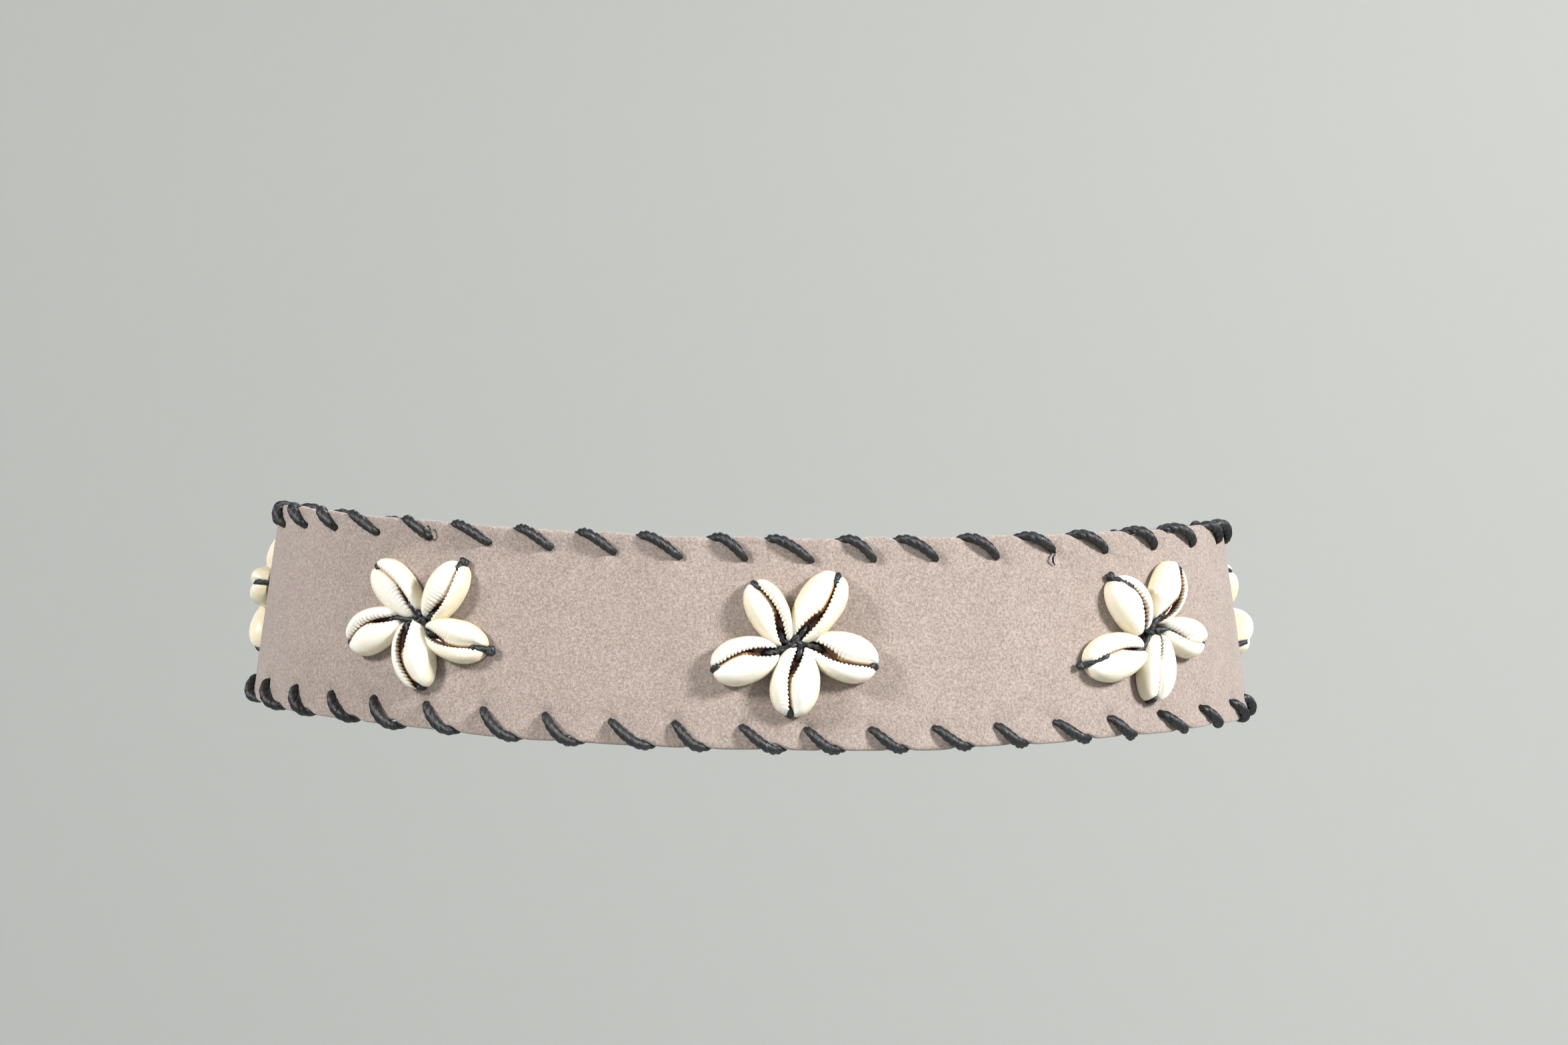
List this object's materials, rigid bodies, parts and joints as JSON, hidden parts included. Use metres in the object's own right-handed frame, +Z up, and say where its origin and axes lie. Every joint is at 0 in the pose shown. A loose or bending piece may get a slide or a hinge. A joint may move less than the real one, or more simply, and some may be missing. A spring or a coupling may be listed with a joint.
{
  "type": "beaded suede waist belt with cowrie shell flowers",
  "caption": "Wide suede belt worn as a closed loop, its edges laced with thick waxed cord, its face sewn with five-petalled flowers of split cowrie shells.",
  "frame": {"origin": "middle of the waist that the belt goes round, at half the band's height", "axes": "+Z up the wearer, -Y to the front, +X to the right of someone who faces the belt's front"},
  "size_m": [0.2834, 0.1731, 0.0666],
  "materials": {
    "suede": "soft napped suede",
    "cowrie": "natural polished shell, cream at the sides and white on top",
    "waxed_cord": "twisted cotton cord with a satin wax coat",
    "stud": "aged satin"
  },
  "bodies": {
    "root": {"band": "suede", "closing_stud": "stud", "flower_cord_front": "waxed_cord", "cowrie_front_1": "cowrie", "cowrie_front_2": "cowrie", "cowrie_front_3": "cowrie", "cowrie_front_4": "cowrie", "cowrie_front_5": "cowrie", "flower_cord_front_left": "waxed_cord", "cowrie_front_left_1": "cowrie", "cowrie_front_left_2": "cowrie", "cowrie_front_left_3": "cowrie", "cowrie_front_left_4": "cowrie", "cowrie_front_left_5": "cowrie", "flower_cord_front_right": "waxed_cord", "cowrie_front_right_1": "cowrie", "cowrie_front_right_2": "cowrie", "cowrie_front_right_3": "cowrie", "cowrie_front_right_4": "cowrie", "cowrie_front_right_5": "cowrie", "flower_cord_side_left": "waxed_cord", "cowrie_side_left_1": "cowrie", "cowrie_side_left_2": "cowrie", "cowrie_side_left_3": "cowrie", "cowrie_side_left_4": "cowrie", "cowrie_side_left_5": "cowrie", "flower_cord_side_right": "waxed_cord", "cowrie_side_right_1": "cowrie", "cowrie_side_right_2": "cowrie", "cowrie_side_right_3": "cowrie", "cowrie_side_right_4": "cowrie", "cowrie_side_right_5": "cowrie", "flower_cord_back_left": "waxed_cord", "cowrie_back_left_1": "cowrie", "cowrie_back_left_2": "cowrie", "cowrie_back_left_3": "cowrie", "cowrie_back_left_4": "cowrie", "cowrie_back_left_5": "cowrie", "flower_cord_back_right": "waxed_cord", "cowrie_back_right_1": "cowrie", "cowrie_back_right_2": "cowrie", "cowrie_back_right_3": "cowrie", "cowrie_back_right_4": "cowrie", "cowrie_back_right_5": "cowrie"}
  },
  "joints": []
}
